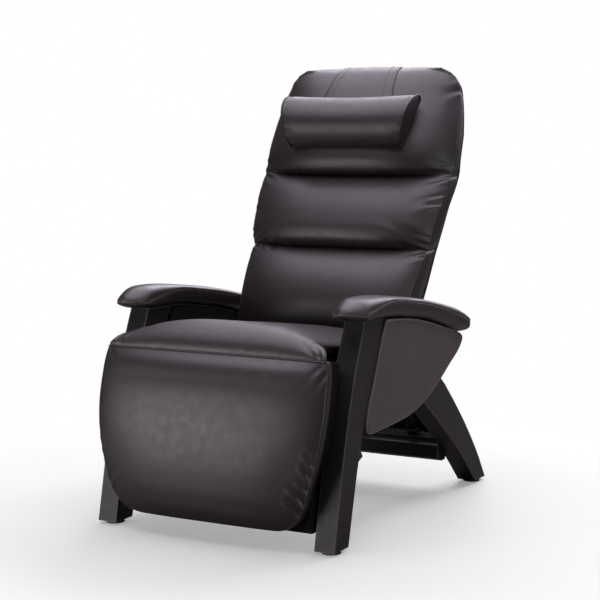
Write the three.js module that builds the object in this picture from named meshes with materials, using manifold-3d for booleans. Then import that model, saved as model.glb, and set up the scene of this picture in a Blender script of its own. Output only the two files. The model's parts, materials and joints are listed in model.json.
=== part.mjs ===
// Powered zero gravity recliner: a dark wooden side frame on each side, and between them a seat,
// a backrest and a legrest that an electric actuator tilts together.
// Millimetres, +Z up. The sitter faces -Y and the sitter's left is +X. The origin is on the floor,
// under the middle of the chair. Profiles are lists of [y, z] points seen from the side.
import * as THREE from 'three';
import { mergeVertices } from 'three/addons/utils/BufferGeometryUtils.js';
import Module from 'manifold-3d';

const wasm = await Module();
wasm.setup();

// ---- driving dimensions -------------------------------------------------------------------
const GAP = 0.4;                 // play between faces that touch
const LEG_INNER = 287;           // half the clear width between the wooden side frames
const LEG_OUTER = 343;
const PANEL_INNER = 331.8;       // upholstered outer side panel
const PANEL_OUTER = 348.5;
const PAD_CENTRE = 316;          // armrest pads, from the middle of the chair
const PAD_HALF = 45;
const GLIDE_HEIGHT = 8;
const RAIL = [238, 262];         // seat side rails, inner and outer face
const POST = [212, 236];         // back posts and legrest arms run inside the rails
const LEG_EDGE = 2;              // rounding of the wooden edges
const INNER_PANEL = 5.1;         // thickness of the panel inside each side frame
const PIVOT_BRACKET = [275, 281];
const HANGER = [262.4, 267.4];
const LINK_BAR = [198, 204];
const SEAT_HALF = 258;           // half widths of the cushions
const BACK_HALF = 300;
const STRAP_HALF = 104;
const PILLOW_HALF = 200;

const SEAT_PIVOT = [-15, 468];   // the seat frame tilts on the side frames here
const LEG_PIVOT = [-405, 455];   // the legrest hangs from the seat frame here
const BACK_PIVOT = [95, 398];    // the backrest hinges on the seat frame here
const BASE_CLEVIS = [315, 190];  // foot of the main actuator and of the back links
const SEAT_LUG = [-100, 340];    // top end of the main actuator, on the seat frame
const LINK_LUG = [60, 417];      // top end of the back links, on the back posts
const PIN_RADIUS = 6;
const RAM_EYE_PLAY = 2.2;        // the opened pivots: play between eye and pin
const LINK_EYE_PLAY = 1.6;
const CRANK_RADIUS = 62;         // legrest crank, pivot to pin
const LEGREST_SWING = 60;        // degrees that the legrest turns on the seat frame
const LEGREST_SLOPE = 0.2488;    // lean of the legrest, y per z
const SLIDE_SLOPE = -0.1175;     // fall of the legrest actuator to the rear, z per y

// ---- colours ------------------------------------------------------------------------------
const finish = (color, roughness, metalness = 0) =>
  new THREE.MeshStandardMaterial({ color, roughness, metalness });
const LEATHER = finish(0x2e2829, 0.45);
const PANEL_HIDE = finish(0x423c38, 0.6);
const BLACK_WOOD = finish(0x232325, 0.4);
const BLACK_CLOTH = finish(0x0c0c0d, 0.9);
const STEEL = finish(0x2a2b2e, 0.45, 0.6);
const BRIGHT_STEEL = finish(0xb9bcc0, 0.3, 1);
const BLACK_PLASTIC = finish(0x161617, 0.5);
const RUBBER = finish(0x101010, 0.8);

// ---- solids -------------------------------------------------------------------------------
const ACROSS = new THREE.Matrix4().makeBasis(
  new THREE.Vector3(0, 1, 0), new THREE.Vector3(0, 0, 1), new THREE.Vector3(1, 0, 0));

function outline(points, holes = []) {
  const shape = new THREE.Shape(points.map(([a, b]) => new THREE.Vector2(a, b)));
  for (const [a, b, radius] of holes) {
    shape.holes.push(new THREE.Path().absarc(a, b, radius, 0, Math.PI * 2));
  }
  return shape;
}

// A side profile made solid from x = from to x = to, with its rim rounded off by `round`.
function across(points, from, to, { round = 0, holes = [], steps = 8 } = {}) {
  const geometry = new THREE.ExtrudeGeometry(outline(points, holes), {
    depth: to - from - 2 * round,
    bevelEnabled: round > 0,
    bevelThickness: round,
    bevelSize: round,
    bevelOffset: -round,
    bevelSegments: 3,
    curveSegments: steps,
  });
  return geometry.translate(0, 0, from + round).applyMatrix4(ACROSS);
}

// A plan outline of [x, y] points made solid from z = from to z = to.
function upward(points, from, to, holes = []) {
  const settings = { depth: to - from, bevelEnabled: false, curveSegments: 10 };
  return new THREE.ExtrudeGeometry(outline(points, holes), settings).translate(0, 0, from);
}

// A front outline of [x, z] points made solid over the whole depth of the chair.
function throughDepth(points) {
  const settings = { depth: 1400, bevelEnabled: false, curveSegments: 10 };
  return new THREE.ExtrudeGeometry(outline(points), settings)
    .rotateX(Math.PI / 2)
    .translate(0, 700, 0);
}

function block(x0, x1, y0, y1, z0, z1) {
  return new THREE.BoxGeometry(x1 - x0, y1 - y0, z1 - z0)
    .translate((x0 + x1) / 2, (y0 + y1) / 2, (z0 + z1) / 2);
}

// A round bar along X through the side-view point [y, z].
function roundBar([y, z], radius, from, to, sides = 20) {
  return new THREE.CylinderGeometry(radius, radius, to - from, sides)
    .rotateZ(Math.PI / 2)
    .translate((from + to) / 2, y, z);
}

// A round bar between two side-view points, at x.
function strut([y0, z0], [y1, z1], radius, x = 0, sides = 20) {
  const length = Math.hypot(y1 - y0, z1 - z0);
  return new THREE.CylinderGeometry(radius, radius, length, sides)
    .rotateX(Math.atan2(z1 - z0, y1 - y0))
    .translate(x, (y0 + y1) / 2, (z0 + z1) / 2);
}

function toSolid(geometry) {
  const bare = geometry.index ? geometry.toNonIndexed() : geometry.clone();
  bare.deleteAttribute('normal');
  bare.deleteAttribute('uv');
  const merged = mergeVertices(bare, 1e-3);
  return new wasm.Manifold(new wasm.Mesh({
    numProp: 3,
    vertProperties: new Float32Array(merged.attributes.position.array),
    triVerts: new Uint32Array(merged.index.array),
  }));
}

function toGeometry(solid) {
  const mesh = solid.getMesh();
  const geometry = new THREE.BufferGeometry();
  geometry.setAttribute('position', new THREE.BufferAttribute(mesh.vertProperties, 3));
  geometry.setIndex(new THREE.BufferAttribute(mesh.triVerts, 1));
  const flat = geometry.toNonIndexed();
  flat.computeVertexNormals();
  return flat;
}

const join = (...parts) => toGeometry(parts.map(toSolid).reduce((a, b) => a.add(b)));
const cut = (body, ...tools) => toGeometry(tools.map(toSolid).reduce((a, b) => a.subtract(b), toSolid(body)));
const common = (...parts) => toGeometry(parts.map(toSolid).reduce((a, b) => a.intersect(b)));

const chair = new THREE.Group();

function add(name, geometry, material) {
  const mesh = new THREE.Mesh(geometry, material);
  mesh.name = name;
  chair.add(mesh);
  return mesh;
}

// The same piece on the sitter's left and, mirrored, on the right.
function addPair(name, geometry, material) {
  add(`left_${name}`, geometry, material);
  add(`right_${name}`, geometry, material).scale.x = -1;
}

// ---- outline helpers ----------------------------------------------------------------------
function smooth(points, count) {
  const curve = new THREE.SplineCurve(points.map(([a, b]) => new THREE.Vector2(a, b)));
  return curve.getPoints(count).map((p) => [p.x, p.y]);
}

// The polyline moved sideways, to its left as it runs.
function offset(path, distance) {
  return path.map(([a, b], i) => {
    const [pa, pb] = path[Math.max(i - 1, 0)];
    const [na, nb] = path[Math.min(i + 1, path.length - 1)];
    const length = Math.hypot(na - pa, nb - pb);
    return [a - (nb - pb) / length * distance, b + (na - pa) / length * distance];
  });
}

const band = (path, near, far) => [...offset(path, near), ...offset(path, far).reverse()];

function disc([a, b], radius, count = 16, start = 0, sweep = 360) {
  return Array.from({ length: count }, (_, i) => {
    const angle = THREE.MathUtils.degToRad(start + sweep * i / (sweep === 360 ? count : count - 1));
    return [a + radius * Math.cos(angle), b + radius * Math.sin(angle)];
  });
}

// ---- side frames --------------------------------------------------------------------------
const PAD_UNDERSIDE = smooth(
  [[-318, 548], [-212, 546], [-117, 541], [-50, 532], [60, 515], [171, 489], [290, 456]], 14);
const PAD_RIDGE = smooth(
  [[-360, 590], [-318, 605], [-254, 604], [-92, 589], [80, 565], [267, 527], [368, 486]], 14);

const FRONT_LEG = [
  ...smooth([[-448, GLIDE_HEIGHT], [-395, 250], [-346, 412], [-290, 545]], 10),
  ...smooth([[-187, 544], [-255, 387], [-313, 235], [-374, GLIDE_HEIGHT]], 10),
];
const REAR_LEG = [
  ...smooth([[510, GLIDE_HEIGHT], [453, 85], [383, 162], [309, 234], [183, 342], [0, 462], [-45, 497]], 14),
  ...smooth([[-160, 505], [-130, 440], [-60, 380], [104, 268], [183, 213], [299, 130], [438, GLIDE_HEIGHT]], 12),
];
const PANEL = [
  ...smooth([[-179, 538], [-117, 535], [-32, 527], [76, 508], [190, 481], [303, 452]], 10),
  ...smooth([[319, 440], [297, 417], [228, 377], [119, 321], [-20, 279], [-120, 270], [-213, 267], [-277, 266]], 14),
  ...smooth([[-289, 268], [-289, 285], [-246, 389], [-200, 494]], 8),
];

function buildSideFrames() {
  const leg = across(FRONT_LEG, LEG_INNER, LEG_OUTER, { round: LEG_EDGE });
  addPair('front_leg', leg, BLACK_WOOD);
  const panelPocket = across(PANEL, PANEL_INNER - GAP, LEG_OUTER + 20, { round: 0 });
  const rearLeg = across(REAR_LEG, LEG_INNER, LEG_OUTER, { round: LEG_EDGE });
  addPair('rear_leg', cut(rearLeg, panelPocket), BLACK_WOOD);

  const railLine = PAD_UNDERSIDE.filter(([y]) => y > -184 && y < 280);
  addPair('arm_rail', across(band(railLine, -GAP, -26), LEG_INNER + 5, PANEL_INNER - GAP), BLACK_WOOD);
  addPair('outer_panel', across(PANEL, PANEL_INNER, PANEL_OUTER, { round: 3 }), PANEL_HIDE);
  addPair('inner_panel', across(PANEL, LEG_INNER - GAP - INNER_PANEL, LEG_INNER - GAP), BLACK_CLOTH);

  const padSide = [...PAD_UNDERSIDE, [345, 458], ...PAD_RIDGE.slice().reverse(), [-368, 572], [-350, 556]];
  const nose = disc([PAD_CENTRE, -305], 1, 13, 180, 180).map(([x, y]) => [
    PAD_CENTRE + (x - PAD_CENTRE) * PAD_HALF, -305 + (y + 305) * 60]);
  const padPlan = upward([...nose, [PAD_CENTRE + 43, 340], [PAD_CENTRE + 34, 372],
    [PAD_CENTRE - 24, 372], [PAD_CENTRE - 34, 340]], 400, 650);
  const padBody = across(padSide, PAD_CENTRE - PAD_HALF, PAD_CENTRE + PAD_HALF, { round: 10 });
  addPair('arm_pad', common(padBody, padPlan), LEATHER);

  for (const [name, y] of [['front', -411], ['rear', 474]]) {
    const glide = new THREE.CylinderGeometry(22, 24, GLIDE_HEIGHT - GAP, 20)
      .rotateX(Math.PI / 2)
      .translate((LEG_INNER + LEG_OUTER) / 2, y, (GLIDE_HEIGHT - GAP) / 2);
    addPair(`${name}_glide`, glide, RUBBER);
  }
}

// ---- cross members, brackets and electrics of the base -------------------------------------
const BEAM_TOP = 162;
const BOARD_THICKNESS = 6;

function buildBase() {
  const reach = LEG_INNER - GAP;
  const gusset = [[-350, 170], [-222, 175], [-184, 190], [-197, 207], [-196, 232], [-300, 250], [-350, 222]];
  add('front_crossbeam', join(block(-reach, reach, -362, -332, 165, 225), across(gusset, reach - 6, reach),
    across(gusset, -reach, 6 - reach)), STEEL);
  add('rear_crossbeam', across([[290, 94], [290, 132], [300, 138], [300, 150], [312, BEAM_TOP],
    [345, BEAM_TOP], [345, 84], [318, 84]], -reach, reach), BLACK_WOOD);

  add('rear_board', block(-reach, reach, 345 + GAP, 345 + GAP + BOARD_THICKNESS, 149, 258), BLACK_WOOD);

  const [py, pz] = SEAT_PIVOT;
  const bracket = across([[py - 55, pz - 70], [py + 55, pz - 70], [py + 22, pz + 18], [py - 22, pz + 18]],
    ...PIVOT_BRACKET);
  addPair('pivot_bracket', join(bracket, roundBar(SEAT_PIVOT, 8, 260, 278)), STEEL);

  const [ay, az] = BASE_CLEVIS;
  const foot = (x0, x1) => block(x0, x1, ay - 14, ay + 28, BEAM_TOP + GAP, BEAM_TOP + 6);
  const cheek = (x0, x1) => across([[ay - 14, BEAM_TOP + 3], [ay + 24, BEAM_TOP + 3], [ay + 15, az + 12],
    [ay, az + 17], [ay - 14, az + 12]], x0, x1);
  const pin = (x0, x1) => roundBar(BASE_CLEVIS, PIN_RADIUS, x0, x1);
  add('actuator_bracket', join(foot(-34, 34), cheek(-34, -28), cheek(28, 34), pin(-31, 31)), STEEL);
  addPair('link_bracket', join(foot(186, 216), cheek(186, 192), pin(189, 206)), STEEL);

  const inlet = cut(block(-190, -150, 396, 410, 108, 134), block(-184, -156, 402, 420, 113, 129));
  add('power_supply', join(block(-230, -110, 345.5, 400, 92, 148), inlet), BLACK_PLASTIC);
}

const BUTTONS = { recline_button: -118, upright_button: -88 };
const BUTTON_HEIGHT = 488;

function buildControls() {
  const wells = Object.values(BUTTONS).map((y) => roundBar([y, BUTTON_HEIGHT], 9.5, 260, 279.2));
  add('control_housing', cut(block(271, 281.1, -138, -68, 466, 510), ...wells), BLACK_PLASTIC);
  for (const [name, y] of Object.entries(BUTTONS)) {
    add(name, roundBar([y, BUTTON_HEIGHT], 9, 268.5, 276.8), BRIGHT_STEEL);
  }
}

// ---- seat ---------------------------------------------------------------------------------
const DECK_UNDERSIDE = [[-383, 446.4], [30, 398]];

function buildSeat() {
  const holes = [[...LEG_PIVOT, PIN_RADIUS + GAP]];
  const rail = [...disc(LEG_PIVOT, 13, 9, 60, 190).reverse(), [-385, 446], [76, 392],
    ...disc(BACK_PIVOT, 16, 9, -70, 190).reverse(), [72, 356], [-372, 408]];
  const backStud = roundBar(BACK_PIVOT, PIN_RADIUS, POST[0] - 4, RAIL[0] + 2);
  addPair('seat_rail', join(across(rail, ...RAIL, { holes, steps: 6 }), backStud), STEEL);
  const lug = (x0, x1) => across([[-75, 372], [-45, 372], [-84, 330], [-104, 324], [-116, 338], [-108, 354]],
    x0, x1);
  const tube = roundBar([-60, 380], 13, -RAIL[0] + GAP, RAIL[0] - GAP);
  add('seat_cross_tube', join(tube, lug(-26, -20), lug(20, 26), roundBar(SEAT_LUG, PIN_RADIUS, -23, 23)), STEEL);
  const [py, pz] = SEAT_PIVOT;
  addPair('seat_hanger', across([[py - 70, 385], [py + 70, 368], [py + 16, pz + 10], [py, pz + 18],
    [py - 16, pz + 10]], ...HANGER, { holes: [[py, pz, 8.4]] }), STEEL);
  const deck = [...DECK_UNDERSIDE, ...offset(DECK_UNDERSIDE, 14).reverse()];
  add('seat_deck', across(deck, -RAIL[1] + 3, RAIL[1] - 3), BLACK_CLOTH);
  const cushion = [[-376, 461], [-374, 498], ...smooth([[-428, 498], [-440, 508], [-437, 524], [-420, 537],
    [-392, 541], [-340, 528], [-260, 517], [-120, 498], [0, 484], [44, 470], [52, 452], [40, 440], [26, 414]], 22)];
  add('seat_cushion', across(cushion, -SEAT_HALF, SEAT_HALF, { round: 9 }), LEATHER);
}

// ---- backrest -----------------------------------------------------------------------------
const BACK_REAR = smooth([[200, 488], [246, 560], [290, 655], [325, 730], [355, 800], [392, 862],
  [412, 930], [440, 1000], [460, 1060], [468, 1120], [463, 1160]], 26);
const BACK_FRONT_VIEW = [
  [-262, 440], [262, 440], [262, 555], [272, 678], [285, 740], [300, 893], [296, 996], [280, 1126],
  [262, 1165], [232, 1188], [190, 1200], [-190, 1200], [-232, 1188], [-262, 1165], [-280, 1126], [-296, 996],
  [-300, 893], [-285, 740], [-272, 678], [-262, 555],
];
const HEAD_FRONT = [[276, 893], [287, 950], [318, 1030], [356, 1112], [396, 1163], [428, 1186], [450, 1190]];

function buildBack() {
  const mask = throughDepth(BACK_FRONT_VIEW);
  const inBetween = (low, high) => offset(BACK_REAR, 36).filter(([, z]) => z > low && z < high);
  const cushion = (name, front, low, high, bottom = []) => {
    const profile = [...front, ...inBetween(low, high).reverse(), ...bottom];
    add(name, common(across(profile, -BACK_HALF, BACK_HALF), mask), LEATHER);
  };
  const lumbar = [[92, 460], [80, 480], [82, 520], [95, 570], [118, 620], [150, 655], [185, 676]];
  cushion('lumbar_cushion', smooth(lumbar, 14), 520, 674, [[165, 512], [110, 460]]);
  const mid = [[203, 682], [190, 705], [192, 735], [206, 772], [229, 817], [262, 857], [296, 882]];
  cushion('mid_cushion', smooth(mid, 14), 690, 884);
  cushion('head_cushion', smooth(HEAD_FRONT, 16), 896, 1150);
  const cover = band(BACK_REAR, 0, 11);
  add('back_cover', common(across(cover, -BACK_HALF, BACK_HALF), mask), LEATHER);

  const along = ([, z]) => z > 505 && z < 1105;
  const post = offset(BACK_REAR, 35).filter(along);
  const postRear = offset(BACK_REAR, 12).filter(along).reverse();
  const foot = [...disc(BACK_PIVOT, 16, 6, 10, -120), [76, 396], ...disc(LINK_LUG, 14, 8, -110, -190), [92, 424]];
  const holes = [[...BACK_PIVOT, PIN_RADIUS + GAP]];
  const linkStud = roundBar(LINK_LUG, PIN_RADIUS, 196, POST[0] + 2);
  addPair('back_post', join(across([...post, ...postRear, ...foot], ...POST, { holes, steps: 6 }), linkStud), STEEL);
  const railCentre = offset(BACK_REAR, 23.5).find(([, z]) => z > 1010);
  add('upper_back_rail', roundBar(railCentre, 8, -POST[0] + GAP, POST[0] - GAP, 16), STEEL);

  const path = smooth([[300, 985], ...HEAD_FRONT.slice(2), [466, 1180], [474, 1150], [474, 1100], [466, 1040]], 24);
  add('pillow_strap', across(band(path, 0.8, 4.4), -STRAP_HALF, STRAP_HALF), LEATHER);
  const section = [...smooth([[344, 1106], [314, 1108], [272, 1084], [246, 1036], [248, 990], [276, 965]], 14),
    [305, 1036]];
  add('head_pillow', across(section, -PILLOW_HALF, PILLOW_HALF), LEATHER);
}

// ---- legrest ------------------------------------------------------------------------------
const legrestPlane = (z, back = 0) => [-350 - (455 - z) * LEGREST_SLOPE + back, z];
const slideLength = Math.hypot(1, SLIDE_SLOPE);
const SLIDE_FORWARD = [-1 / slideLength, -SLIDE_SLOPE / slideLength];
const SLIDE_DOWN = [SLIDE_SLOPE / slideLength, -1 / slideLength];

// A point given along the legrest actuator and below the legrest pivot.
const fromLegPivot = (forward, down) => [
  LEG_PIVOT[0] + forward * SLIDE_FORWARD[0] + down * SLIDE_DOWN[0],
  LEG_PIVOT[1] + forward * SLIDE_FORWARD[1] + down * SLIDE_DOWN[1],
];
const HALF_SWING = THREE.MathUtils.degToRad(LEGREST_SWING / 2);
const CRANK_PIN = fromLegPivot(-CRANK_RADIUS * Math.sin(HALF_SWING), CRANK_RADIUS * Math.cos(HALF_SWING));
const BOARD_HALF = 272;
const BOARD_DEPTH = 12;
const SKIRT_HALF = 279;
const SKIRT_DEPTH = 42;

function buildLegrest() {
  const face = smooth([[-424, 468], [-442, 457], [-474, 420], [-500, 350], [-511, 270], [-511, 190], [-500, 110],
    [-482, 66], [-462, 46]], 18);
  const notch = block(-268, 268, -421, -300, 366, 480);
  const half = [[0, 44], ...disc([250, 98], 50, 7, -82, 82), [323, 335], [314, 452], [292, 474]];
  const frontView = [...half, ...half.slice(1).reverse().map(([x, z]) => [-x, z])];
  const arc = disc([0, 740], 1251, 13, -105, 30);
  const plan = upward([...arc, [330, -300], [-330, -300]], 0, 500);
  const body = across([...face, legrestPlane(46), legrestPlane(452), [-372, 466]], -324, 324);
  add('legrest_pad', cut(common(body, throughDepth(frontView), plan), notch), LEATHER);
  // A layer behind the legrest's rear plane, from z0 to z1 and between two depths.
  const layer = (z0, z1, near, far) => [legrestPlane(z0, near), legrestPlane(z1, near), legrestPlane(z1, far),
    legrestPlane(z0, far)];
  add('legrest_board', across(layer(62, 362, GAP, BOARD_DEPTH), -BOARD_HALF, BOARD_HALF), BLACK_CLOTH);
  const skirt = across(layer(46, 322, BOARD_DEPTH + GAP, SKIRT_DEPTH), -SKIRT_HALF, SKIRT_HALF, { round: 4 });
  add('legrest_skirt', skirt, BLACK_CLOTH);
  addPair('skirt_screw', roundBar([-394, 187], 3.5, SKIRT_HALF + 0.3, SKIRT_HALF + 4, 12), BRIGHT_STEEL);

  const arm = [...disc(LEG_PIVOT, 12, 9, 0, 180), legrestPlane(400, -20), legrestPlane(374, BOARD_DEPTH + GAP),
    legrestPlane(326, BOARD_DEPTH + GAP), legrestPlane(326, 30), legrestPlane(366, 30), [-380, 430]];
  const stud = roundBar(LEG_PIVOT, PIN_RADIUS, POST[1] - 2, RAIL[1] + 2);
  addPair('legrest_arm', join(across(arm, ...POST), stud), STEEL);

  const [cy, cz] = CRANK_PIN;
  const crank = (x0, x1) => across([...disc(LEG_PIVOT, 13, 7, 60, 150), ...disc([cy, cz], 11, 8, 200, 180)], x0, x1);
  const torqueTube = roundBar(LEG_PIVOT, 10, -POST[0] + GAP, POST[0] - GAP);
  add('legrest_crank', join(torqueTube, crank(-16, -10), crank(10, 16), roundBar([cy, cz], 5, -16, 16)), STEEL);
}

// ---- actuators ----------------------------------------------------------------------------
const YOKE_DEPTH = CRANK_RADIUS * (1 + Math.cos(HALF_SWING)) / 2;   // rod axis below the pivot

// A rectangle set along the legrest actuator's axis.
function alongSlide(forward0, forward1, below, above) {
  return [[forward0, YOKE_DEPTH + below], [forward1, YOKE_DEPTH + below], [forward1, YOKE_DEPTH - above],
    [forward0, YOKE_DEPTH - above]].map(([f, d]) => fromLegPivot(f, d));
}

function buildActuators() {
  const start = -CRANK_RADIUS * Math.sin(HALF_SWING);
  const slot = across(alongSlide(start - 6.2, start + 6.2, 10.5, 10.5), -20, 20);
  const yoke = cut(across(alongSlide(start - 14, start + 14, 18, 18), -8, 8), slot);
  const rod = strut(fromLegPivot(start - 12, YOKE_DEPTH), fromLegPivot(-250, YOKE_DEPTH), 7);
  add('legrest_rod', join(yoke, rod), BRIGHT_STEEL);
  const body = across(alongSlide(-282, -130, 26, 26), -26, 26, { round: 5 });
  const bore = strut(fromLegPivot(-100, YOKE_DEPTH), fromLegPivot(-262, YOKE_DEPTH), 7.6);
  add('legrest_motor', cut(body, bore), BLACK_PLASTIC);

  const [by, bz] = BASE_CLEVIS;
  const [ty, tz] = SEAT_LUG;
  const length = Math.hypot(ty - by, tz - bz);
  const at = (distance) => [by + (ty - by) * distance / length, bz + (tz - bz) * distance / length];
  const eye = (point, radius, half) => roundBar(point, radius, -half, half);
  const motorEye = eye(BASE_CLEVIS, 15, 13);
  const gearbox = across(band([at(20), at(90)], -24, 24), -27, 27, { round: 4 });
  const tube = strut(at(60), at(330), 15);
  const tubeBore = strut(at(150), at(340), 9.6);
  const neck = strut(at(0), at(30), 10);
  add('actuator_body', cut(join(motorEye, neck, gearbox, tube), eye(BASE_CLEVIS, PIN_RADIUS + GAP, 20), tubeBore),
    BLACK_PLASTIC);
  const drive = across(band([at(40), at(140)], 26, 64), -24, 24, { round: 8 });
  add('actuator_motor', drive, BLACK_PLASTIC);
  const rodEye = eye(SEAT_LUG, 15, 13);
  const rodBar = strut(at(190), SEAT_LUG, 9);
  add('actuator_rod', cut(join(rodEye, rodBar), eye(SEAT_LUG, PIN_RADIUS + RAM_EYE_PLAY, 20)), BRIGHT_STEEL);

  const linkSide = (x0, x1) => {
    const flat = across(band([BASE_CLEVIS, LINK_LUG], -11, 11), x0, x1);
    const ends = [roundBar(BASE_CLEVIS, 15, x0, x1), roundBar(LINK_LUG, 15, x0, x1)];
    const hole = (centre, radius) => roundBar(centre, radius, x0 - 2, x1 + 2);
    const holes = [hole(BASE_CLEVIS, PIN_RADIUS + GAP), hole(LINK_LUG, PIN_RADIUS + LINK_EYE_PLAY)];
    return cut(join(flat, ...ends), ...holes);
  };
  addPair('back_link', linkSide(...LINK_BAR), STEEL);
}

buildSideFrames();
buildBase();
buildControls();
buildSeat();
buildBack();
buildLegrest();
buildActuators();

export default chair;
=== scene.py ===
"""Looks of the powered zero gravity recliner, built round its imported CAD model.

Sizes are in millimetres in the tables below, and MM turns them into metres where a mesh is made. The sitter
faces -Y, the sitter's left is +X and the floor is z = 0. Profiles are [y, z] points seen from the side.
"""
import json
import math

import bmesh
import bpy
import numpy as np
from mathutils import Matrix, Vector
from mathutils.bvhtree import BVHTree
from mathutils.kdtree import KDTree


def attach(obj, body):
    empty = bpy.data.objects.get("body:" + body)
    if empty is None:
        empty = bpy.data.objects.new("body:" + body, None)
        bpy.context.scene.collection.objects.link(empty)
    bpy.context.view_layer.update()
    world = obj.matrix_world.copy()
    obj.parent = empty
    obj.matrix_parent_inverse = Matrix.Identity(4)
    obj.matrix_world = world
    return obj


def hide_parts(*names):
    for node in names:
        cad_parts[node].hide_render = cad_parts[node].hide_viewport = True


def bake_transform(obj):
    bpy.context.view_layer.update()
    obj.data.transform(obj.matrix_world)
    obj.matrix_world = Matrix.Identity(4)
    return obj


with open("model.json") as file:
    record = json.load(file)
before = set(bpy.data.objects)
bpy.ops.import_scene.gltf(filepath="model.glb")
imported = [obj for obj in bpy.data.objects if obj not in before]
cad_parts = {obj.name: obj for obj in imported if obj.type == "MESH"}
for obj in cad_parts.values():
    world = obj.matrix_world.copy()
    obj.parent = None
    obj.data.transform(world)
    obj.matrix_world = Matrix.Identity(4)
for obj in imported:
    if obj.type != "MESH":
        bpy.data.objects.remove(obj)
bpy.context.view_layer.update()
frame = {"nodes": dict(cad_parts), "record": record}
NODES = frame["nodes"]
MM = 0.001

# ---- camera ----
CAMERA_AZIMUTH = 28.56
CAMERA_ELEVATION = 6.05
CAMERA_DISTANCE = 4.3886
CAMERA_TARGET = (-0.152, 0.290, 0.520)
CAMERA_LENS = 90.41
AMBIENT = 0.07
FLOOR_GLOW = 0.285

# ---- shapes: seams are [half-width, y, z], profiles [y, z] ----
HEAD_SEAM = [[297, 345, 882], [300, 351, 893], [300, 360, 910], [299, 378, 961], [296, 395, 1000],
             [292, 413, 1039], [285, 440, 1090], [277, 455, 1122], [266, 461, 1150], [249, 463, 1170],
             [224, 463, 1184], [196, 462, 1190]]
HEAD_CROWN = [[322, 885], [294, 885], [275, 895], [268, 922], [276, 962], [297, 1008], [323, 1055],
              [353, 1101], [389, 1148], [424, 1179], [454, 1192]]
MID_SEAM = [[274, 239, 681], [279, 242, 695], [284, 250, 730], [289, 272, 772], [295, 300, 819],
            [298, 326, 855], [297, 341, 878], [291, 346, 889]]
MID_CROWN = [[220, 685], [198, 687], [183, 702], [181, 735], [195, 775], [219, 818], [249, 853], [284, 877],
             [316, 887]]
LUMBAR_SEAM = [[260, 118, 462], [263, 135, 520], [265, 153, 562], [268, 175, 600], [272, 205, 642],
               [273, 231, 676], [267, 240, 688]]
LUMBAR_CROWN = [[86, 462], [79, 500], [82, 540], [95, 580], [118, 622], [150, 656], [185, 677], [214, 686]]
BACK_REAR = [[200, 488], [246, 560], [290, 655], [325, 730], [355, 800], [392, 862], [412, 930], [440, 1000],
             [460, 1060], [468, 1120], [465, 1160], [460, 1184]]
COVER_DEPTH = 12
GUSSET_EDGE = [[261, 158, 560], [266, 186, 605], [270, 216, 645], [272, 244, 682], [279, 256, 720],
               [288, 283, 780], [295, 312, 835], [296, 342, 878], [297, 354, 900], [295, 368, 940]]
BACK_SPAN = (492, 1186)
COVER_HALF = [[488, 258], [555, 262], [678, 272], [893, 297], [996, 293], [1126, 275],
              [1150, 263], [1170, 246], [1186, 215]]

SEAT_SEAM = [[312, -431, 463], [312, -430, 469], [308, -423, 478], [299, -408, 486], [282, -390, 490],
             [266, -368, 489], [258, -340, 485], [257, -260, 474], [257, -120, 456], [257, 0, 442],
             [257, 50, 432]]
SEAT_CROWN = [[-431, 463], [-431, 471], [-426, 488], [-413, 506], [-393, 520], [-363, 529], [-322, 529],
              [-260, 519], [-120, 500], [0, 486], [40, 478], [56, 462]]
SEAT_FLOOR = [[-415, 460], [-380, 462], [44, 414]]
WEB_LINE = [[38, 446], [52, 437], [66, 433], [80, 436], [92, 446], [102, 460], [110, 476]]
WEB_HALF = 190
WEB_THICKNESS = 5

LEGREST_SEAM = [[172, -464, 49], [206, -468, 52], [236, -473, 63], [260, -477, 84], [277, -480, 113],
                [291, -482, 158], [311, -477, 235], [322, -463, 330], [322, -449, 390], [319, -438, 437],
                [313, -433, 462]]
LEGREST_CROWN = [[-462, 49], [-484, 54], [-501, 76], [-509, 115], [-511, 165], [-507, 240], [-497, 320],
                 [-479, 398], [-459, 444], [-433, 463]]
LEGREST_SLOPE = 0.2488
# Folds are (x0, v0, x1, v1, width, depth), as press() takes them.
LEGREST_PUCKERS = [(310, 0.33, 266, 0.40, 5, 10), (313, 0.39, 276, 0.48, 5, 9),
                   (316, 0.46, 284, 0.54, 5, 7), (302, 0.25, 246, 0.36, 6, 12),
                   (290, 0.18, 236, 0.29, 6, 11), (266, 0.10, 222, 0.19, 6, 7),
                   (318, 0.55, 292, 0.60, 7, 3.0), (300, 0.97, 268, 0.88, 7, 4.0),
                   (314, 0.93, 290, 0.85, 6, 3.5)]
FAR_SIDE_DEPTH = 0.35
LEGREST_BAND = 22
LINING_INSET = 14
SKIRT_HALF = 279
SKIRT_SPAN = (46, 322)

PILLOW_FRONT = [[342, 1086], [342, 1099], [331, 1108], [311, 1109], [283, 1097], [259, 1071], [247, 1038],
                [248, 1008], [257, 983], [268, 967], [279, 962]]
PILLOW_REAR = [[342, 1086], [330, 1066], [306, 1028], [290, 990], [279, 962]]
PILLOW_HALF = (172, 204)
PILLOW_SAG = 8
STRAP_HALF = (93, 112)
STRAP_LOW = 985

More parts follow.
